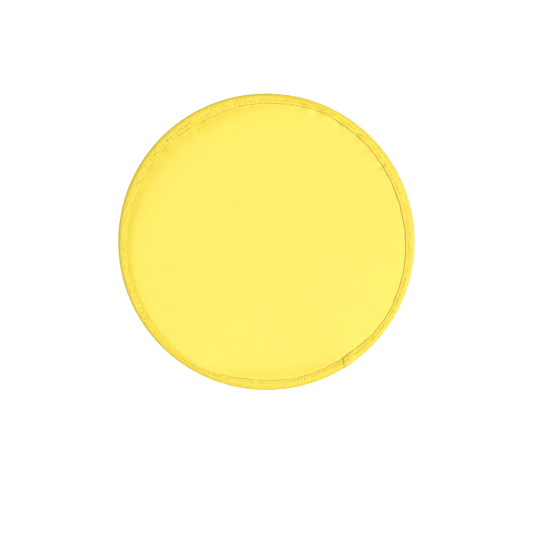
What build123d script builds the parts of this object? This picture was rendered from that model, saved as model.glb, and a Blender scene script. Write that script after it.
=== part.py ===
from build123d import *
import os
from math import atan2, degrees, tan

# A folding fabric flying disc: a thin round panel, a woven tape folded round its
# rim and sewn down, and a flat spring-steel band sprung open inside that hem.
# Millimetres, +Z up. The disc lies flat with its front up, and its origin is on
# the ground under its centre. It folds in half about a line along Y, so each
# piece that crosses the fold is made as a left (-X) and a right (+X) half.

# Driving dimensions
DISC_DIAMETER = 250.0
HEM_WIDTH = 8.0  # from the rim to the tape's inner edge
HEM_THICKNESS = 3.0
SEAM_WIDTH = 2.9  # the inner part of the hem, sewn flat
LAND_WIDTH = 0.6  # the hem's highest part, on which the disc lies
LAND_INSET = 2.2  # from the rim to the land
TAPE_PLY = 0.25
PANEL_THICKNESS = 0.25
PANEL_SETBACK = 0.6  # from the band to the panel's cut edge
BAND_WIDTH = 1.6  # along Z
BAND_THICKNESS = 0.5  # across the rim
BAND_INSET = 1.1  # from the rim to the band
BAND_BUTT_GAP = 0.5  # between the band's two ends, inside the ferrule
FERRULE_WALL = 0.12
FERRULE_ROUNDING = 0.2
FERRULE_ARC = 11.0  # degrees of the rim, 24 mm long
LAP_ANGLE = 302.3  # degrees from +X, where the tape's end is laid over its start
LAP_ARC = 6.0  # degrees, 13 mm of rim
LAP_STEP = 0.5  # how far the second ply moves the hem's slope inwards
THREAD_WIDTH = 0.35
THREAD_HEIGHT = 0.2  # how far a stitch stands out of the tape
STITCH_LENGTH = 2.2
STITCHES_PER_HALF = 140
SEAM_ROW_INSET = 2.2  # from the tape's inner edge to the seam's stitches
TACK_ROW_INSET = 0.8  # the same, to the row of extra stitches that locks the seam
TACK_START = 293.0  # degrees from +X
TACK_ARC = 32.0
TACK_STITCHES = 24
FOLD_GAP = 0.1  # between the two halves

SIDES = {"left": -1, "right": 1}

# Radii and heights that follow from them
rim_radius = DISC_DIAMETER / 2
mid_height = HEM_THICKNESS / 2
seam_half_height = PANEL_THICKNESS / 2 + TAPE_PLY
tape_inner_radius = rim_radius - HEM_WIDTH
seam_outer_radius = tape_inner_radius + SEAM_WIDTH
land_outer_radius = rim_radius - LAND_INSET
land_inner_radius = land_outer_radius - LAND_WIDTH
band_mid_radius = rim_radius - BAND_INSET - BAND_THICKNESS / 2
panel_radius = rim_radius - BAND_INSET - BAND_THICKNESS - PANEL_SETBACK


def radial_plane(angle):
    """The upright plane through the disc's axis at that angle: x is the radius, y is the height."""
    outwards = Vector(1, 0, 0).rotate(Axis.Z, angle)
    across = Vector(0, -1, 0).rotate(Axis.Z, angle)
    return Plane(origin=(0, 0, 0), x_dir=outwards, z_dir=across)


def keep_half(side):
    """Cut the part being built at the fold, and keep its left or right half."""
    fold = Plane.YZ.offset(side * FOLD_GAP / 2)
    split(bisect_by=fold, keep=Keep.TOP if side > 0 else Keep.BOTTOM)


def write(piece, name):
    """Label a finished piece and write its STEP file."""
    piece.part.label = name
    export_step(piece.part, f"parts/{name}.step")


def draw_hem_section(inset):
    """Draw the hem's closed section, moved in by inset all round but out past the tape's inner edge."""
    slope = atan2(mid_height - seam_half_height, land_inner_radius - seam_outer_radius)
    corner_shift = inset * tan(slope / 2)
    land = mid_height - inset
    seam = seam_half_height - inset
    rim = EllipticalCenterArc(
        (land_outer_radius, mid_height),
        x_radius=LAND_INSET - inset,
        y_radius=land,
        start_angle=-90,
        arc_size=180,
    )
    Polyline(
        rim @ 1,
        (land_inner_radius + corner_shift, mid_height + land),
        (seam_outer_radius + corner_shift, mid_height + seam),
        (tape_inner_radius - inset, mid_height + seam),
        (tape_inner_radius - inset, mid_height - seam),
        (seam_outer_radius + corner_shift, mid_height - seam),
        (land_inner_radius + corner_shift, mid_height - land),
        rim @ 0,
    )


def make_panel(side):
    """The thin round panel, stretched across the hoop, with its edge inside the hem."""
    with BuildPart() as panel:
        with BuildSketch(Plane.XY.offset(mid_height - PANEL_THICKNESS / 2)):
            Circle(panel_radius)
        extrude(amount=PANEL_THICKNESS)
        keep_half(side)
    return panel


def make_rim_tape(side):
    """The tape folded round the rim: two legs sewn to the panel, and a channel for the band."""
    with BuildPart() as tape:
        with BuildSketch(Plane.XZ):
            with BuildLine():
                draw_hem_section(0)
            make_face()
            with BuildLine():
                draw_hem_section(TAPE_PLY)
            make_face(mode=Mode.SUBTRACT)
        revolve(axis=Axis.Z)
        # The tape's end lies over its start: a second ply on both of the hem's slopes
        for height, seam_height in (
            (HEM_THICKNESS, mid_height + seam_half_height),
            (0, mid_height - seam_half_height),
        ):
            with BuildSketch(radial_plane(LAP_ANGLE)):
                with BuildLine():
                    Polyline(
                        (seam_outer_radius, seam_height),
                        (land_inner_radius, height),
                        (land_inner_radius - LAP_STEP, height),
                        (seam_outer_radius - LAP_STEP, seam_height),
                        close=True,
                    )
                make_face()
            revolve(axis=Axis.Z, revolution_arc=LAP_ARC)
        keep_half(side)
    return tape


def make_spring_band(side):
    """The flat steel band that springs the disc open; its two ends meet in the ferrule."""
    gap_angle = degrees(BAND_BUTT_GAP / band_mid_radius)
    with BuildPart() as band:
        with BuildSketch(radial_plane(LAP_ANGLE + gap_angle / 2)):
            with Locations((band_mid_radius, mid_height)):
                Rectangle(BAND_THICKNESS, BAND_WIDTH)
        revolve(axis=Axis.Z, revolution_arc=360 - gap_angle)
        keep_half(side)
    return band


def make_band_ferrule():
    """The sheet-metal sleeve crimped over the band's two ends."""
    with BuildPart() as ferrule:
        with BuildSketch(radial_plane(LAP_ANGLE - FERRULE_ARC / 2)):
            with Locations((band_mid_radius, mid_height)):
                RectangleRounded(
                    BAND_THICKNESS + 2 * FERRULE_WALL,
                    BAND_WIDTH + 2 * FERRULE_WALL,
                    FERRULE_ROUNDING,
                )
                Rectangle(BAND_THICKNESS, BAND_WIDTH, mode=Mode.SUBTRACT)
        revolve(axis=Axis.Z, revolution_arc=FERRULE_ARC)
    return ferrule


def make_thread(side, base_height):
    """One face's row of stitches round half of the seam, and the tack row over the lap."""
    half_pitch = 90 / STITCHES_PER_HALF
    seam_start = -90 * side + half_pitch
    with BuildPart() as thread:
        with BuildSketch(Plane.XY.offset(base_height)):
            with PolarLocations(
                tape_inner_radius + SEAM_ROW_INSET,
                STITCHES_PER_HALF,
                seam_start,
                180,
                endpoint=False,
            ):
                SlotOverall(STITCH_LENGTH, THREAD_WIDTH, rotation=90)
            if side > 0:
                with PolarLocations(
                    tape_inner_radius + TACK_ROW_INSET,
                    TACK_STITCHES,
                    TACK_START,
                    TACK_ARC,
                    endpoint=False,
                ):
                    SlotOverall(STITCH_LENGTH, THREAD_WIDTH, rotation=90)
        extrude(amount=THREAD_HEIGHT)
    return thread


os.makedirs("parts", exist_ok=True)
for name, side in SIDES.items():
    write(make_panel(side), f"panel_{name}")
    write(make_rim_tape(side), f"rim_tape_{name}")
    write(make_spring_band(side), f"spring_band_{name}")
    write(make_thread(side, mid_height + seam_half_height), f"needle_thread_{name}")
    write(
        make_thread(side, mid_height - seam_half_height - THREAD_HEIGHT),
        f"bobbin_thread_{name}",
    )
write(make_band_ferrule(), "band_ferrule")
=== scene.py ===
import bpy
import math
import numpy as np
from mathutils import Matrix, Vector


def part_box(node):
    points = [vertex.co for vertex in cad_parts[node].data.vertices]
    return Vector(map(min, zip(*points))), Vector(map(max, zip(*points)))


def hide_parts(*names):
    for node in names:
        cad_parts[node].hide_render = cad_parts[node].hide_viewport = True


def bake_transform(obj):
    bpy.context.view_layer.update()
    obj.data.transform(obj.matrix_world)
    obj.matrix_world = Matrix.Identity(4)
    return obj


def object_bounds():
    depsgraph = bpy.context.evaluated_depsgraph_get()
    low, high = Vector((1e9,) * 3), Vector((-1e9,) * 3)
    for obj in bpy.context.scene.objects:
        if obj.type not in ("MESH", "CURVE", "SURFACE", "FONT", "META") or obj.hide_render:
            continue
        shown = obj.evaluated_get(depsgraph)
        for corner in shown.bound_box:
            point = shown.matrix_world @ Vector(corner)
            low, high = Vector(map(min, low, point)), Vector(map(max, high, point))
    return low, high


# A folding fabric flying disc, lying flat on a white floor: a woven panel, a tape folded
# round the rim as a hem and sewn down, its stitches, and the steel band inside the hem.
# Everything is in metres in the frame's axes; angles are in degrees from +X, anticlockwise.

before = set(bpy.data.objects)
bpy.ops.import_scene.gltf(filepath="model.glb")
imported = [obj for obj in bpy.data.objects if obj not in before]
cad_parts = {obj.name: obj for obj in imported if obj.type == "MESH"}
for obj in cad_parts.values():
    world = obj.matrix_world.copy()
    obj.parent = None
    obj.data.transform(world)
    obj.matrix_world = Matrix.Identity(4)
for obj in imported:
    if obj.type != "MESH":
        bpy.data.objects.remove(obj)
cad_bounds = [list(corner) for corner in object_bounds()]

MM = 0.001
FULL_TURN = 360.0

# ---------------------------------------------------------------- sizes from the frame

band_low, band_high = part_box("spring_band_right")
thread_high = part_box("needle_thread_left")[1]
panel_low, panel_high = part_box("panel_right")

RIM = cad_bounds[1][0]  # the disc's radius
THICKNESS = cad_bounds[1][2] - cad_bounds[0][2]
MIDDLE = (cad_bounds[0][2] + cad_bounds[1][2]) / 2  # height of the disc's middle plane
PANEL_PLY = panel_high.z - panel_low.z
PANEL_EDGE = panel_high.x
BAND_OUTER = band_high.x
BAND_HALF_WIDTH = (band_high.z - band_low.z) / 2
ferrule_low, ferrule_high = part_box("band_ferrule")
ferrule_centre = (ferrule_low + ferrule_high) / 2
FERRULE_ANGLE = math.degrees(math.atan2(ferrule_centre.y, ferrule_centre.x)) % 360
FERRULE_SHELL = (ferrule_high.z - ferrule_low.z) / 2 - BAND_HALF_WIDTH

# ------------------------------------------------------------------- shape of the cloth

TAPE_PLY = 0.25 * MM
CUT_EDGE = 0.25  # how thick the tape's pressed selvedge is, in plies
TAPE_WIDTH = 20.2 * MM
BAND_THICKNESS = 0.5 * MM
BAND_BUTT_GAP = 0.5 * MM  # between the strip's two ends, inside the ferrule
BAND_BEVEL = 0.08 * MM
LAP_ANGLE = 302.3  # where the tape's end lies over its start
LAP_ARC = 6.0  # degrees over which the tape lies double
LAP_GROOVE = 0.2  # how deep the groove at the foot of the lap's end is, in steps
LAP_SLOPE = 0.45  # degrees over which the lap's end comes down to the ply below
LAP_STEP = 0.95 * MM  # the tape's end is turned under and bunched up by the stitches
LAP_SLANT = 1.3  # degrees that the lap's edge leans, from the rim to the seam
STITCHES = 280  # round the seam on each face
TACK_START = 293.0  # a second row of stitches runs from here, over the lap
TACK_ARC = 32.0
TACK_STITCHES = 24
TACK_FROM_SEAM = 1.9 * MM
THREAD_RADIUS = 0.16 * MM

COLUMNS = STITCHES * 6  # steps round the rim in the tape's mesh

# The front of the hem round the rim. In each row: an angle; how far in from the rim its highest
# line lies, and that line's height off the middle plane; how far in the seam lies; how far in the
# tape's edge lies, and how far it stands off the panel. All but the angle are in mm.
HEM = [
    (0, 3.4, 1.36, 5.4, 8.0, 0.08), (10, 3.6, 1.34, 5.8, 8.8, 0.08), (20, 3.8, 1.34, 6.0, 8.9, 0.08),
    (33, 3.9, 1.32, 5.8, 8.6, 0.12), (45, 3.8, 1.30, 5.4, 8.0, 0.20), (56, 3.6, 1.30, 5.0, 7.9, 0.32),
    (59, 3.6, 1.40, 4.9, 7.7, 0.5), (60.2, 3.7, 1.5, 4.9, 7.5, 0.16), (68, 4.0, 1.75, 4.9, 6.9, 0.20),
    (76, 4.3, 1.75, 5.4, 7.6, 0.14), (86, 4.6, 1.65, 5.8, 8.4, 0.12), (92, 4.8, 1.55, 6.0, 8.6, 0.06),
    (106, 5.0, 1.50, 6.4, 9.5, 0.04), (117, 5.2, 1.46, 7.0, 10.6, 0.16), (122, 5.2, 1.46, 6.8, 10.4, 0.16),
    (131, 5.4, 1.48, 6.4, 8.8, 0.06), (145, 5.4, 1.48, 6.2, 8.2, 0.06), (158, 5.2, 1.46, 6.4, 8.6, 0.04),
    (172, 4.8, 1.42, 5.6, 7.4, 0.04), (190, 4.2, 1.38, 5.0, 6.8, 0.04), (207, 3.2, 1.36, 4.3, 6.2, 0.04),
    (222, 2.8, 1.36, 3.9, 5.2, 0.04), (237, 2.8, 1.36, 3.9, 5.2, 0.06), (247, 3.2, 1.38, 4.4, 6.0, 0.06),
    (254, 4.2, 1.46, 5.4, 7.2, 0.08), (260, 4.8, 1.55, 6.0, 8.3, 0.16), (270, 5.0, 1.6, 6.2, 8.5, 0.16),
    (279, 4.8, 1.55, 5.9, 7.9, 0.14), (288, 4.4, 1.48, 5.6, 7.5, 0.12), (295, 4.0, 1.42, 5.6, 7.8, 0.12),
    (303, 3.1, 1.38, 5.3, 7.9, 0.12), (312, 3.0, 1.38, 5.0, 7.9, 0.10), (318, 2.9, 1.38, 4.4, 6.7, 0.26),
    (326, 2.9, 1.38, 4.3, 6.2, 0.26), (338, 3.0, 1.38, 4.4, 6.9, 0.14), (350, 3.1, 1.38, 4.9, 7.3, 0.20),
]
# The panel next to the hem. In each row: an angle; the panel's height over a broad belt; how much
# lower it is at the hem, and the length over which it gets there. All but the angle are in mm.
PANEL_BELT = [
    (0, 0.75, 0.0, 5), (20, 0.5, -0.4, 5), (40, 0.3, -0.8, 5), (60, 0.35, -0.75, 5),
    (75, 0.9, 0.0, 4), (100, 1.6, 0.7, 5), (120, 1.9, 0.9, 6), (140, 2.2, 1.25, 8),
    (163, 1.8, 0.9, 5), (180, 1.5, 0.75, 3.2), (200, 1.2, 0.6, 2.5), (220, 0.9, 0.5, 1.8),
    (240, 0.5, 0.15, 2), (254, -0.5, -1.4, 7), (270, -1.0, -2.3, 9), (288, -0.7, -1.9, 8),
    (303, 0.4, -0.4, 5), (320, 0.8, 0, 4), (340, 0.8, 0, 5),
]
BELT_WIDTH = 55 * MM

# Puckers that run in from the hem: (angle, width in degrees, length in mm, height in mm)
PUCKERS = [
    (64.5, 1.6, 9, 0.64), (68.5, 1.3, 8, -0.52), (58.8, 0.8, 7, -0.44), (72, 1.3, 9, 0.4),
    (75.5, 1.2, 8, -0.32), (53, 1.0, 8, 0.32), (50, 0.9, 7, -0.28), (46.5, 1.0, 8, 0.36),
    (43.5, 0.9, 7, -0.28), (40.5, 1.0, 9, 0.36), (36.5, 0.8, 7, 0.24), (34, 0.7, 7, -0.52),
    (28, 1.0, 7, 0.24), (24, 0.9, 6, -0.24), (19, 1.2, 6, 0.2), (119, 1.2, 7, -0.44),
    (123.5, 1.0, 9, 0.6), (127.5, 1.0, 8, 0.4), (134, 1.4, 9, 0.32), (138.3, 0.9, 7, -0.72),
    (141.5, 1.1, 9, 0.4), (148, 1.5, 8, -0.28), (155, 1.2, 7, 0.28), (262, 2.0, 9, 0.24),
    (281, 1.8, 12, -0.28),
]
# A ledge in the tape, beyond which it lies lower, on the band: (angle, how far in, height), in mm
LEDGE = [
    (0, 1.4, 0.1), (30, 1.4, 0.12), (52, 1.8, 0.1), (58, 3.6, 0.0), (61, 3.4, 0.3), (65, 2.8, 0.55),
    (70, 2.2, 0.7), (78, 1.8, 0.7), (88, 1.4, 0.6), (97, 1.3, 0.5), (106, 1.3, 0.3), (125, 1.4, 0.35),
    (140, 1.5, 0.5), (158, 1.5, 0.4), (180, 1.4, 0.25), (215, 1.4, 0.1), (240, 1.4, 0.1),
    (250, 1.6, 0.2), (258, 2.2, 0.5), (270, 1.9, 0.4), (285, 1.5, 0.3), (300, 1.5, 0.3),
    (304, 1.4, 0.0), (330, 1.4, 0.0),
]
LEDGE_WIDTH = 1.1 * MM
TAPE_CRUMPLE = 0.07 * MM
PRESSED = 0.4 * MM  # how far the stitches press the panel down under the tape


def round_the_rim(table, angle):
    """The columns of a listed table at each angle, each a smooth closed curve, in metres."""
    table = np.array(table, float)
    known = np.concatenate([table[:, 0] - FULL_TURN, table[:, 0], table[:, 0] + FULL_TURN])
    value = np.concatenate([table[:, 1:]] * 3) * MM
    slope = np.gradient(value, known, axis=0)
    angle = np.asarray(angle, float) % FULL_TURN
    i = np.clip(np.searchsorted(known, angle, side="right") - 1, 0, len(known) - 2)
    step = (known[i + 1] - known[i])[..., None]
    t = (angle[..., None] - known[i][..., None]) / step
    curves = (
        (2 * t**3 - 3 * t**2 + 1) * value[i]
        + (t**3 - 2 * t**2 + t) * step * slope[i]
        + (3 * t**2 - 2 * t**3) * value[i + 1]
        + (t**3 - t**2) * step * slope[i + 1]
    )
    return np.moveaxis(curves, -1, 0)


def bump(angle, centre, width):
    """A smooth bump of height 1 round an angle."""
    away = (np.asarray(angle) - centre + FULL_TURN / 2) % FULL_TURN - FULL_TURN / 2
    return np.exp(-0.5 * (away / width) ** 2)


def ripple(angle, fewest, most, seed):
    """Random smooth waves round the rim, about 1 high, with from fewest to most of them in a turn."""
    rng = np.random.default_rng(seed)
    total = np.zeros_like(np.asarray(angle, float))
    counts = np.unique(np.linspace(fewest, most, 14).astype(int))
    for count in counts:
        total += rng.normal() * np.cos(np.radians(count * angle) + rng.uniform(0, 2 * math.pi))
    return total / math.sqrt(len(counts) / 2)


def smooth_step(t):
    t = np.clip(t, 0, 1)
    return t * t * (3 - 2 * t)


def crumple(angle, inset, longest, seed):
    """Random creases of cloth, about 1 high, from waves in every direction up to the longest."""
    rng = np.random.default_rng(seed)
    around = np.radians(angle) * RIM
    total = 0.0
    for _ in range(14):
        length = longest * rng.uniform(0.4, 1.0)
        heading = rng.uniform(0, math.pi)
        # A whole number of waves round the rim, so that the pattern closes
        turns = np.round(RIM * 2 * math.pi * math.cos(heading) / length) / RIM
        across = 2 * math.pi * math.sin(heading) / length
        total = total + np.cos(turns * around + across * inset + rng.uniform(0, 2 * math.pi))
    return total / math.sqrt(7)


def panel_relief(angle, inset):
    """How far the panel's middle surface stands off the disc's middle plane, from the rim inwards."""
    inside = np.maximum(inset - round_the_rim(HEM, angle)[3], 0)
    belt, drop, length = round_the_rim(PANEL_BELT, angle)
    height = belt * np.exp(-((inside / BELT_WIDTH) ** 2)) - drop * np.exp(-((inside / length) ** 1.4))
    for centre, width, length, tall in PUCKERS:
        lean = centre + 0.1 * inside / MM * np.sign(tall)
        fade = np.exp(-inside / (length * MM * 0.55))
        height = height + tall * MM * bump(angle, lean, width) * fade
    swells = ripple(angle + 0.2 * inside / MM, 24, 60, 1)
    height = height + 0.06 * MM * swells * np.exp(-inside / (9 * MM))
    height = height + 0.03 * MM * ripple(angle, 80, 170, 2) * np.exp(-inside / (4 * MM))
    height = height + 0.035 * MM * crumple(angle, inset, 7 * MM, 4) * np.exp(-inside / (12 * MM))
    # Past the seam, the panel's edge turns down to the middle of the hem
    return height * smooth_step((inset - 2.2 * MM) / (2.5 * MM))


def sagging(x, y):
    """Very shallow waves of the whole stretched panel, in metres."""
    waves = 0.10 * np.sin(x / 0.031 + 1.9 * np.sin(y / 0.07)) * np.sin(y / 0.043 + 0.6)
    waves = waves + 0.07 * np.sin((0.8 * x + 0.6 * y) / 0.019 + 0.8 * np.sin(x / 0.05))
    return waves * MM


def panel_height(angle, inset, side, pressed=0.0):
    """Height of the panel's front (side 1) or back (side -1) face. Under the tape it can be pressed
    down by the stitches."""
    angle, inset = np.broadcast_arrays(np.asarray(angle, float), np.asarray(inset, float))
    radius = RIM - inset
    x = radius * np.cos(np.radians(angle))
    y = radius * np.sin(np.radians(angle))
    inner = smooth_step((inset - 7 * MM) / (25 * MM))
    under = smooth_step((round_the_rim(HEM, angle)[3] - 0.3 * MM - inset) / MM)
    relief = panel_relief(angle, inset) + sagging(x, y) * inner - pressed * under
    return MIDDLE + relief + side * PANEL_PLY / 2


def lap_cover(angle, inset):
    """1 where the tape's second ply lies, from its cut edge to where its start ends below it."""
    edge = LAP_ANGLE - LAP_SLANT / 2 + LAP_SLANT * inset / (6 * MM)
    along = (angle - edge + FULL_TURN / 2) % FULL_TURN - FULL_TURN / 2
    cover = smooth_step(along / LAP_SLOPE + 0.5) * smooth_step((LAP_ARC - along) / 2.5)
    return cover * (0.3 + 0.7 * smooth_step(inset / MM))


def lap_groove(angle, inset):
    """1 along the foot of the lap's end, where the ply below it is pressed in."""
    edge = LAP_ANGLE - LAP_SLANT / 2 + LAP_SLANT * inset / (6 * MM) - LAP_SLOPE * 0.7
    away = (angle - edge + FULL_TURN / 2) % FULL_TURN - FULL_TURN / 2
    return np.exp(-((away / (LAP_SLOPE * 0.6)) ** 2)) * smooth_step(inset / (2 * MM))


def hem_controls(angle, side):
    """Control points of the hem's outer surface on one face, from the tape's inner edge to the
    rim: insets from the rim and heights off the middle plane, in metres."""
    crest, top, seam, edge, lift = round_the_rim(HEM, angle)
    edge = edge + 0.10 * MM * ripple(angle, 30, 90, 3 + side)
    crest = crest + 0.12 * MM * ripple(angle, 10, 50, 6 + side)
    if side < 0:
        # On the back the tape lies flatter, and its edge comes where the front's falls short
        edge = TAPE_WIDTH - 2.6 * MM - edge
        top = np.full_like(angle, THICKNESS / 2)
        lift = np.full_like(angle, 0.06 * MM)
    lift = np.maximum(lift + 0.06 * MM * ripple(angle, 40, 110, 9 + side), 0.02 * MM)
    top = top - np.abs(0.04 * MM * ripple(angle, 14, 60, 12 + side))
    over_edge = side * (panel_height(angle, edge, side) - MIDDLE) + TAPE_PLY * CUT_EDGE + lift
    over_seam = side * (panel_height(angle, seam, side) - MIDDLE) + TAPE_PLY + 0.04 * MM
    # Each stitch pulls the tape down at its ends, where the thread goes through, most of all in
    # the tight stitches on both sides of the lap
    pull = (0.5 + 0.5 * np.cos(np.radians(angle) * STITCHES)) ** 2
    tight = bump(angle, TACK_START + TACK_ARC * 0.6, TACK_ARC / 2.2)
    over_seam = over_seam - (0.18 + 0.45 * tight) * MM * pull
    tack_pull = (0.5 + 0.5 * np.cos((angle - TACK_START) / TACK_ARC * TACK_STITCHES * 2 * math.pi)) ** 2
    tacked = smooth_step((angle - TACK_START) / 2) * smooth_step((TACK_START + TACK_ARC - angle) / 2)
    dimple = (0.5 if side > 0 else 0.15) * MM
    flap = (over_edge + over_seam) / 2 + 0.3 * lift - dimple * tack_pull * tacked
    shoulder = BAND_HALF_WIDTH + TAPE_PLY + 0.02 * MM
    insets = [
        edge,
        (edge + seam) / 2,
        seam + 0.35 * MM,
        seam - 0.25 * MM,
        (crest + seam) / 2,
        crest,
        (crest + 1.6 * MM) / 2,
        np.full_like(angle, 1.65 * MM),
        np.full_like(angle, 1.1 * MM),
        np.full_like(angle, 0.45 * MM),
        np.full_like(angle, 0.1 * MM),
    ]
    heights = [
        over_edge,
        flap,
        over_seam + 0.03 * MM,
        over_seam,
        over_seam * 0.4 + top * 0.6 - 0.05 * MM * pull,
        top,
        top * 0.45 + shoulder * 0.55 + 0.06 * MM,
        np.full_like(angle, shoulder + 0.06 * MM),
        np.full_like(angle, shoulder),
        np.full_like(angle, shoulder * 0.68),
        np.full_like(angle, shoulder * 0.28),
    ]
    return np.stack(insets, 1), np.stack(heights, 1)


def through(points, steps):
    """Catmull-Rom curves through points of shape (columns, controls, 2), with that many steps in
    each span."""
    before = np.concatenate([2 * points[:, :1] - points[:, 1:2], points], 1)
    padded = np.concatenate([before, 2 * points[:, -1:] - points[:, -2:-1]], 1)
    rows = []
    for i, count in enumerate(steps):
        a, b, c, d = (padded[:, i + k] for k in range(4))
        for t in np.arange(count) / count:
            bend = (2 * a - 5 * b + 4 * c - d) * t**2 + (3 * b - a - 3 * c + d) * t**3
            rows.append(0.5 * (2 * b + (c - a) * t + bend))
    rows.append(points[:, -1])
    return np.stack(rows, 1)


def hem_section(angle):
    """The tape's outer surface round each section: front edge, over the rim, to the back edge."""
    front_inset, front_height = hem_controls(angle, 1)
    back_inset, back_height = hem_controls(angle, -1)
    rim = np.stack([np.zeros_like(angle), np.zeros_like(angle)], 1)[:, None]
    front = np.stack([front_inset, front_height], 2)
    back = np.stack([back_inset, -back_height], 2)[:, ::-1]
    spans = front.shape[1]
    outer = through(np.concatenate([front, rim, back], 1), [2] * spans + [1] * (spans - 4) + [2] * 4)
    along = np.gradient(outer, axis=1)
    length = np.linalg.norm(along, axis=2, keepdims=True)
    inwards = np.stack([-along[..., 1], along[..., 0]], 2) / length
    # 1 on the front, 0 on the rim itself and -1 on the back; heights are away from the middle
    face = np.sign(2 * spans - np.arange(outer.shape[1]))[None]
    depth = outer[..., 0]
    height = face * outer[..., 1]
    ledge, drop = (column[:, None] for column in round_the_rim(LEDGE, angle))
    step = smooth_step((depth - ledge) / LEDGE_WIDTH + 0.5) - 0.5
    height = height + drop * step * np.exp(-(((depth - ledge) / (2.5 * MM)) ** 2)) * (face > 0)
    creases = crumple(angle[:, None], depth, 3.6 * MM, 5)
    height = height + smooth_step(depth / (2 * MM)) * TAPE_CRUMPLE * creases
    # The tape can't sink into the band and its ferrule
    on_band = (depth > 0.85 * MM) & (depth < 2.1 * MM) & (face != 0)
    from_ferrule = np.abs((angle - FERRULE_ANGLE + FULL_TURN / 2) % FULL_TURN - FULL_TURN / 2)
    steel = BAND_HALF_WIDTH + FERRULE_SHELL * smooth_step((9 - from_ferrule) / 2.5)
    height = np.where(on_band, np.maximum(height, steel[:, None] + TAPE_PLY), height)
    rows = outer.shape[1]
    thin = np.minimum(np.arange(rows), np.arange(rows)[::-1]) / 3
    ply = TAPE_PLY * (CUT_EDGE + (1 - CUT_EDGE) * smooth_step(thin))
    # or into the panel
    for side in (1, -1):
        cloth = side * (panel_height(angle[:, None], depth, side, PRESSED) - MIDDLE)
        on_cloth = (depth > 2.6 * MM) & (face == side)
        clear = (0.06 - 0.03 * side) * MM
        height = np.where(on_cloth, np.maximum(height, cloth + ply + clear), height)
    outer = np.stack([depth, face * height], 2)
    inner = outer + inwards * ply[None, :, None]
    # The lap's second ply lies on top of the first, and presses a groove into it at its end
    raised = lap_cover(angle[:, None], outer[..., 0])
    raised = raised - LAP_GROOVE * lap_groove(angle[:, None], outer[..., 0])
    outer = outer - inwards * (raised * LAP_STEP)[..., None]
    return outer, inner


# --------------------------------------------------------------------- making the meshes


def rim_points(angle, inset, height):
    """Points in the frame from angle, inset from the rim and height, broadcast together."""
    angle, inset, height = np.broadcast_arrays(np.radians(angle), inset, height)
    radius = RIM - inset
    return np.stack([radius * np.cos(angle), radius * np.sin(angle), height], -1)


def grid_faces(columns, rows, close_columns, close_rows, start=0):
    """Quads of a grid of points numbered row by row within each column."""
    c = np.arange(columns if close_columns else columns - 1)[:, None]
    r = np.arange(rows if close_rows else rows - 1)[None]
    c2, r2 = (c + 1) % columns, (r + 1) % rows
    quads = np.stack([c * rows + r, c2 * rows + r, c2 * rows + r2, c * rows + r2], -1)
    return quads.reshape(-1, 4) + start


def add_piece(name, points, faces, material, point_uv=None, corner_uv=None):
    """A mesh object of one material. Cloth and thread are shaded smooth and have a uv map in
    metres, which is given for each point, or for each corner of the faces in turn."""
    mesh = bpy.data.meshes.new(name)
    mesh.from_pydata(points.reshape(-1, 3).tolist(), [], faces)
    if point_uv is not None:
        corner = np.zeros(len(mesh.loops), int)
        mesh.loops.foreach_get("vertex_index", corner)
        corner_uv = point_uv.reshape(-1, 2)[corner]
    if corner_uv is not None:
        layer = mesh.uv_layers.new(name="cloth")
        layer.data.foreach_set("uv", corner_uv.astype(np.float32).ravel())
        mesh.shade_smooth()
    mesh.materials.append(material)
    piece = bpy.data.objects.new(name, mesh)
    bpy.context.scene.collection.objects.link(piece)
    return piece


def mesh_tubes(lines, radius, sides):
    """Points, faces and uv of round closed tubes along lines of shape (tubes, points, 3), in a
    cloth that lies nearly level; each tube's ends taper and are closed."""
    tubes, steps, _ = lines.shape
    along = np.gradient(lines, axis=1)
    along /= np.linalg.norm(along, axis=2, keepdims=True)
    across = np.cross(along, [0.0, 0.0, 1.0])
    across /= np.linalg.norm(across, axis=2, keepdims=True)
    up = np.cross(across, along)
    turn = np.linspace(0, 2 * math.pi, sides, endpoint=False)
    taper = np.sin(np.linspace(0.12, math.pi - 0.12, steps)) ** 0.35
    ring = across[:, :, None] * np.cos(turn)[:, None] + up[:, :, None] * np.sin(turn)[:, None]
    points = lines[:, :, None] + ring * (radius * taper)[None, :, None, None]
    base = grid_faces(steps, sides, False, True)
    faces = [tuple(f) for f in base]
    faces.append(tuple(range(sides)))
    faces.append(tuple(range(steps * sides - 1, (steps - 1) * sides - 1, -1)))
    every = [tuple(i + k * steps * sides for i in f) for k in range(tubes) for f in faces]
    step = np.linalg.norm(np.diff(lines, axis=1), axis=2)
    run = np.concatenate([np.zeros((tubes, 1)), np.cumsum(step, 1)], 1)
    uv = np.stack(np.broadcast_arrays(run[..., None], turn / (2 * math.pi) * radius * 6), -1)
    return points, every, uv


# ------------------------------------------------------------------------------ materials


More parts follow.
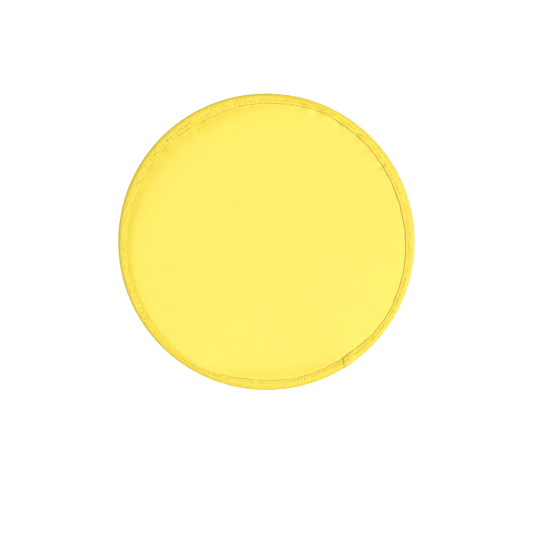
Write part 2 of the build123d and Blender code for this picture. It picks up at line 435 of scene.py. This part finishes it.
class Nodes:
    """A short way to write a node material."""

    def __init__(self, name):
        self.material = bpy.data.materials.new(name)
        self.material.use_nodes = True
        self.tree = self.material.node_tree
        self.shader = self.tree.nodes["Principled BSDF"]

    def node(self, kind, settings=None, **inputs):
        made = self.tree.nodes.new(kind)
        for key, value in (settings or {}).items():
            setattr(made, key, value)
        for key, value in inputs.items():
            self.put(made, key.replace("_", " "), value)
        return made

    def put(self, node, socket, value):
        """Link an output to an input, given by its name or number, or set the input's own value."""
        target = node.inputs[socket]
        if isinstance(value, bpy.types.NodeSocket):
            self.tree.links.new(value, target)
        else:
            target.default_value = value

    def math(self, operation, first, second=0.0):
        made = self.node("ShaderNodeMath", {"operation": operation})
        self.put(made, 0, first)
        self.put(made, 1, second)
        return made.outputs[0]

    def cloth_uv(self):
        return self.node("ShaderNodeUVMap", {"uv_map": "cloth"}).outputs["UV"]

    def scaled(self, vector, scale):
        made = self.node("ShaderNodeMapping")
        self.put(made, "Vector", vector)
        self.put(made, "Scale", scale)
        return made.outputs["Vector"]

    def noise(self, vector, scale, detail=2.0, roughness=0.5):
        made = self.node("ShaderNodeTexNoise", Scale=scale, Detail=detail, Roughness=roughness)
        self.put(made, "Vector", vector)
        return made.outputs["Fac"]


def weave_height(n, uv, warp_pitch, weft_pitch):
    """Height of a plain weave from 0 to 1, its threads going over and under in turn."""
    split = n.node("ShaderNodeSeparateXYZ")
    n.put(split, "Vector", uv)
    across = n.math("SINE", n.math("MULTIPLY", split.outputs[0], math.pi / warp_pitch))
    along = n.math("SINE", n.math("MULTIPLY", split.outputs[1], math.pi / weft_pitch))
    checks = n.math("MULTIPLY", across, along)
    return n.math("ADD", n.math("MULTIPLY", checks, 0.5), 0.5)


def fabric_material(name, colour, shade, warp_pitch, weft_pitch, slubs, roughness, painted_rim_shade=None):
    """Woven cloth: a plain weave, uneven threads and a soft mottle of colour. Where asked, it has painted
    shade that darkens it towards a line along it, given by the line's place across the cloth, the shade's
    reach and its darkest factor."""
    n = Nodes(name)
    uv = n.cloth_uv()
    weave = weave_height(n, uv, warp_pitch, weft_pitch)
    warp_slubs = n.noise(n.scaled(uv, (slubs, slubs * 0.06, 1)), 1.0, 3.0)
    weft_slubs = n.noise(n.scaled(uv, (slubs * 0.06, slubs, 1)), 1.0, 3.0)
    threads = n.math("ADD", n.math("MULTIPLY", warp_slubs, 0.5), n.math("MULTIPLY", weft_slubs, 0.5))
    mottle = n.noise(uv, 45.0, 4.0, 0.55)
    tone = n.math("ADD", n.math("MULTIPLY", threads, 0.75), n.math("MULTIPLY", mottle, 0.25))
    tone = n.math("ADD", n.math("MULTIPLY", tone, 0.85), n.math("MULTIPLY", weave, 0.15))
    ramp = n.node("ShaderNodeValToRGB")
    n.put(ramp, "Fac", tone)
    ramp.color_ramp.elements[0].position = 0.3
    ramp.color_ramp.elements[0].color = (*shade, 1)
    ramp.color_ramp.elements[1].position = 0.62
    ramp.color_ramp.elements[1].color = (*colour, 1)
    tint = ramp.outputs["Color"]
    # Painted shade: the colour is darkened towards the rim, where the tape's rounded edge turns away from
    # the light
    if painted_rim_shade:
        place, reach, deepest = painted_rim_shade
        split = n.node("ShaderNodeSeparateXYZ")
        n.put(split, "Vector", uv)
        away = n.math("ABSOLUTE", n.math("SUBTRACT", split.outputs[1], place))
        depth = n.node("ShaderNodeMapRange", {"interpolation_type": "SMOOTHSTEP"})
        n.put(depth, "From Min", 0.0)
        n.put(depth, "From Max", reach)
        n.put(depth, "To Min", deepest)
        n.put(depth, "To Max", 1.0)
        n.put(depth, "Value", away)
        painted_shade_tint = n.node("ShaderNodeVectorMath", {"operation": "SCALE"})
        n.put(painted_shade_tint, 0, tint)
        n.put(painted_shade_tint, "Scale", depth.outputs["Result"])
        tint = painted_shade_tint.outputs["Vector"]
    n.put(n.shader, "Base Color", tint)
    height = n.math("ADD", n.math("MULTIPLY", weave, 0.7), n.math("MULTIPLY", threads, 0.5))
    relief = n.node("ShaderNodeBump", Strength=0.25, Distance=0.00005)
    n.put(relief, "Height", height)
    n.put(n.shader, "Normal", relief.outputs["Normal"])
    rough = n.math("ADD", n.math("MULTIPLY", threads, 0.12), roughness - 0.06)
    n.put(n.shader, "Roughness", rough)
    n.put(n.shader, "Specular IOR Level", 0.5)
    return n.material


def thread_material(name, colour, shade):
    """Twisted sewing thread: slanted plies and a slight gloss."""
    n = Nodes(name)
    split = n.node("ShaderNodeSeparateXYZ")
    n.put(split, "Vector", n.cloth_uv())
    slant = n.math("ADD", split.outputs[0], n.math("MULTIPLY", split.outputs[1], 0.8))
    ply = n.math("SINE", n.math("MULTIPLY", slant, 2 * math.pi / (0.45 * MM)))
    ply = n.math("ADD", n.math("MULTIPLY", ply, 0.5), 0.5)
    fuzz = n.noise(n.cloth_uv(), 3000.0, 2.0)
    tone = n.math("ADD", n.math("MULTIPLY", ply, 0.7), n.math("MULTIPLY", fuzz, 0.3))
    ramp = n.node("ShaderNodeValToRGB")
    n.put(ramp, "Fac", tone)
    ramp.color_ramp.elements[0].color = (*shade, 1)
    ramp.color_ramp.elements[1].color = (*colour, 1)
    n.put(n.shader, "Base Color", ramp.outputs["Color"])
    relief = n.node("ShaderNodeBump", Strength=0.6, Distance=0.00005)
    n.put(relief, "Height", tone)
    n.put(n.shader, "Normal", relief.outputs["Normal"])
    n.put(n.shader, "Roughness", 0.45)
    return n.material


def steel_material(name, colour, roughness, grain):
    """Rolled or crimped sheet metal with fine scratches along it."""
    n = Nodes(name)
    place = n.node("ShaderNodeTexCoord").outputs["Object"]
    streaks = n.noise(n.scaled(place, grain), 1.0, 4.0, 0.6)
    ramp = n.node("ShaderNodeValToRGB")
    n.put(ramp, "Fac", streaks)
    ramp.color_ramp.elements[0].color = (*[c * 0.7 for c in colour], 1)
    ramp.color_ramp.elements[1].color = (*colour, 1)
    n.put(n.shader, "Base Color", ramp.outputs["Color"])
    n.put(n.shader, "Metallic", 1.0)
    n.put(n.shader, "Roughness", n.math("ADD", n.math("MULTIPLY", streaks, 0.25), roughness - 0.12))
    relief = n.node("ShaderNodeBump", Strength=0.3, Distance=0.00002)
    n.put(relief, "Height", streaks)
    n.put(n.shader, "Normal", relief.outputs["Normal"])
    return n.material


def floor_material():
    """Seamless white paper, lit evenly enough to show as plain white."""
    n = Nodes("white_paper")
    n.put(n.shader, "Base Color", (0.4, 0.4, 0.4, 1))
    n.put(n.shader, "Roughness", 0.8)
    n.put(n.shader, "Emission Color", (1, 1, 1, 1))
    n.put(n.shader, "Emission Strength", 0.75)
    return n.material


# ---------------------------------------------------------------------------- the pieces


def make_panel(material):
    """The round panel, in two faces joined at its edge, which lies inside the hem."""
    around = 600
    edge = RIM - PANEL_EDGE
    insets = np.concatenate(
        [
            np.linspace(edge, 12 * MM, 16),
            np.linspace(12.5 * MM, 30 * MM, 22)[1:],
            np.geomspace(32 * MM, RIM - 1.5 * MM, 18),
        ]
    )
    angle = (np.arange(around) * FULL_TURN / around)[:, None]
    front = rim_points(angle, insets, panel_height(angle, insets[None], 1, PRESSED))
    back = rim_points(angle, insets, panel_height(angle, insets[None], -1, PRESSED))
    rows = len(insets)
    count = around * rows
    centre = MIDDLE + sagging(0.0, 0.0)
    hubs = np.array([[0, 0, centre + PANEL_PLY / 2], [0, 0, centre - PANEL_PLY / 2]])
    points = np.concatenate([front.reshape(-1, 3), back.reshape(-1, 3), hubs])
    sides = grid_faces(around, rows, True, False)
    faces = [tuple(f) for f in sides] + [tuple(f[::-1]) for f in sides + count]
    for c in range(around):
        a, b = c * rows, (c + 1) % around * rows
        faces.append((a + rows - 1, b + rows - 1, 2 * count))
        faces.append((count + b + rows - 1, count + a + rows - 1, 2 * count + 1))
        faces.append((a, count + a, count + b, b))
    return add_piece("panel", points, faces, material, point_uv=points[:, :2])


def make_rim_tape(material):
    """The tape folded round the rim, one closed woven strip with its lap."""
    near_lap = np.linspace(LAP_ANGLE - 1.5, LAP_ANGLE + 1.5, 60)
    angle = np.unique(np.concatenate([np.arange(COLUMNS) * FULL_TURN / COLUMNS, near_lap]))
    outer, inner = hem_section(angle)
    section = np.concatenate([outer, inner[:, ::-2]], 1)
    points = rim_points(angle[:, None], section[..., 0], MIDDLE + section[..., 1])
    columns, rows = points.shape[:2]
    faces = grid_faces(columns, rows, True, True)[:, ::-1]
    # The uv runs along the tape and across it; the faces that close the ring end at a full turn
    step = np.linalg.norm(np.diff(section[0], axis=0), axis=1)
    across = np.concatenate([[0], np.cumsum(step)])
    column = faces // rows
    last = column.max(1, keepdims=True) == columns - 1
    along = np.append(angle, FULL_TURN)[np.where((column == 0) & last, columns, column)]
    along = np.radians(along) * RIM
    uv = np.stack([along, across[faces % rows]], -1)
    return add_piece("rim_tape", points, faces.tolist(), material, corner_uv=uv)


def hem_surface(angle, inset, side):
    """Height of the tape's outer surface at an angle and an inset, on one face."""
    outer, _ = hem_section(angle)
    rim_row = outer[0, :, 0].argmin()
    leg = outer[:, : rim_row + 1] if side > 0 else outer[:, :rim_row:-1]
    return np.array([np.interp(-i, -row[:, 0], row[:, 1]) for i, row in zip(inset, leg)])


def stitch_lines(side, first, pitch, count, from_seam, wander, seed):
    """The middle line of each stitch: it rises out of one hole, lies on the tape and dives into
    the next one."""
    steps = 9
    t = np.linspace(0, 1, steps)
    cover = 0.86  # of the pitch; the rest is the dip between two stitches
    angle = first + (np.arange(count)[:, None] + 0.5 - cover / 2 + t[None] * cover) * pitch
    rng = np.random.default_rng(seed)
    shift = wander * (ripple(angle, 20, 90, seed) * 0.7 + rng.normal(size=(count, 1)) * 0.5)
    slant = rng.normal(size=(count, 1)) * 0.05 * MM * (t[None] - 0.5)
    at = round_the_rim(HEM, angle)[2] + from_seam + shift + slant
    ground = hem_surface(angle.ravel(), at.ravel(), side).reshape(angle.shape)
    rise = (0.11 * np.sin(math.pi * t) ** 0.6 - 0.04) * MM
    return rim_points(angle, at, MIDDLE + ground + side * rise[None])


def make_thread(name, side, material, seed):
    """One face's seam all the way round, and the tack row that locks its ends over the lap."""
    pitch = FULL_TURN / STITCHES
    tack_pitch = TACK_ARC / TACK_STITCHES
    seam = stitch_lines(side, 0.0, pitch, STITCHES, 0.0, 0.08 * MM, seed)
    wander = 0.2 * MM
    tack = stitch_lines(
        side, TACK_START, tack_pitch, TACK_STITCHES, TACK_FROM_SEAM, wander, seed + 1
    )
    points, faces, uv = mesh_tubes(np.concatenate([seam, tack]), THREAD_RADIUS, 8)
    return add_piece(name, points, faces, material, point_uv=uv)


def make_spring_band(material):
    """The flat steel strip bent into a hoop, whose two ends meet inside the ferrule."""
    around = 540
    gap = math.degrees(BAND_BUTT_GAP / BAND_OUTER)
    angle = LAP_ANGLE + gap / 2 + np.linspace(0, FULL_TURN - gap, around)
    bevel = BAND_BEVEL
    high, outer = BAND_HALF_WIDTH, RIM - BAND_OUTER
    inner = outer + BAND_THICKNESS
    section = np.array(
        [
            (outer, -high + bevel), (outer, high - bevel),
            (outer + bevel, high), (inner - bevel, high),
            (inner, high - bevel), (inner, -high + bevel),
            (inner - bevel, -high), (outer + bevel, -high),
        ]
    )
    points = rim_points(angle[:, None], section[None, :, 0], MIDDLE + section[None, :, 1])
    rows = len(section)
    faces = [tuple(f) for f in grid_faces(around, rows, False, True)]
    faces.append(tuple(range(rows - 1, -1, -1)))
    faces.append(tuple(range((around - 1) * rows, around * rows)))
    return add_piece("spring_band", points, faces, material)


# ------------------------------------------------------------------------------- the pieces

YELLOW = (0.95, 0.765, 0.055)
YELLOW_SHADE = (0.93, 0.735, 0.045)
TAPE_YELLOW = (0.92, 0.73, 0.048)
TAPE_SHADE = (0.88, 0.68, 0.034)

panel_cloth = fabric_material("panel_cloth", YELLOW, YELLOW_SHADE, 0.28 * MM, 0.36 * MM, 420.0, 0.34)
# Painted shade round the rim: the tape darkens to 0.78 of its colour at the middle of its width, fading
# out over 5 mm each way
rim_painted_shade = (TAPE_WIDTH / 2, 5 * MM, 0.78)
tape_cloth = fabric_material(
    "tape_cloth", TAPE_YELLOW, TAPE_SHADE, 0.34 * MM, 0.5 * MM, 500.0, 0.38, rim_painted_shade
)
sewing_thread = thread_material("sewing_thread", (0.92, 0.72, 0.08), (0.70, 0.48, 0.03))
spring_steel = steel_material("spring_steel", (0.52, 0.53, 0.55), 0.34, (300, 300, 4000))
crimped_steel = steel_material("crimped_sheet", (0.80, 0.80, 0.79), 0.38, (900, 900, 300))

panel = make_panel(panel_cloth)
rim_tape = make_rim_tape(tape_cloth)
needle_thread = make_thread("needle_thread", 1, sewing_thread, 21)
bobbin_thread = make_thread("bobbin_thread", -1, sewing_thread, 31)
spring_band = make_spring_band(spring_steel)

# Hide each piece's left and right halves in the CAD model, which these meshes stand in for, and keep each
# mesh's place in its points
for piece in (panel, rim_tape, needle_thread, bobbin_thread, spring_band):
    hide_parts(f"{piece.name}_left", f"{piece.name}_right")
    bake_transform(piece)

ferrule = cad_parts["band_ferrule"]
ferrule.data.materials.clear()
ferrule.data.materials.append(crimped_steel)

# ------------------------------------------------------------- floor, light and camera


def add_floor():
    """A large square floor under the disc."""
    half = 4.0
    corners = np.array([(-half, -half, 0), (half, -half, 0), (half, half, 0), (-half, half, 0)])
    add_piece("floor", corners, [(0, 1, 2, 3)], floor_material())


def add_area_light(name, place, size, power):
    """A square soft light at place, facing the disc."""
    light = bpy.data.lights.new(name, "AREA")
    light.size = size
    light.energy = power
    lamp = bpy.data.objects.new(name, light)
    lamp.location = place
    towards = -np.array(place, float)
    lamp.rotation_mode = "QUATERNION"
    lamp.rotation_quaternion = Vector(towards).to_track_quat("-Z", "Y")
    lamp.visible_camera = False
    bpy.context.scene.collection.objects.link(lamp)


def add_world(strength):
    """White light from all round."""
    world = bpy.data.worlds.new("studio")
    world.use_nodes = True
    background = world.node_tree.nodes["Background"]
    background.inputs["Color"].default_value = (1, 1, 1, 1)
    background.inputs["Strength"].default_value = strength
    bpy.context.scene.world = world


def add_camera():
    """Straight above the disc, whose centre is a little above the middle of the picture."""
    picture_width = 449.2 * MM  # across the picture, at the disc
    aside, below = 0.02 * MM, 20.85 * MM  # from the disc's centre to the middle of the picture
    lens, sensor = 85.0, 36.0
    camera = bpy.data.cameras.new("camera")
    camera.lens = lens
    camera.sensor_width = sensor
    camera.clip_end = 50
    eye = bpy.data.objects.new("camera", camera)
    eye.location = (aside, -below, MIDDLE + picture_width * lens / sensor)
    bpy.context.scene.collection.objects.link(eye)
    bpy.context.scene.camera = eye


add_floor()
add_world(0.22)
add_area_light("key", (4.7, -1.0, 3.4), 3.0, 172.0)
add_area_light("near_the_camera", (0.5, -0.4, 4.8), 2.7, 72.0)
add_area_light("overhead", (0.3, -0.2, 3.2), 4.4, 48.0)
add_camera()
bpy.context.scene.view_settings.view_transform = "Standard"
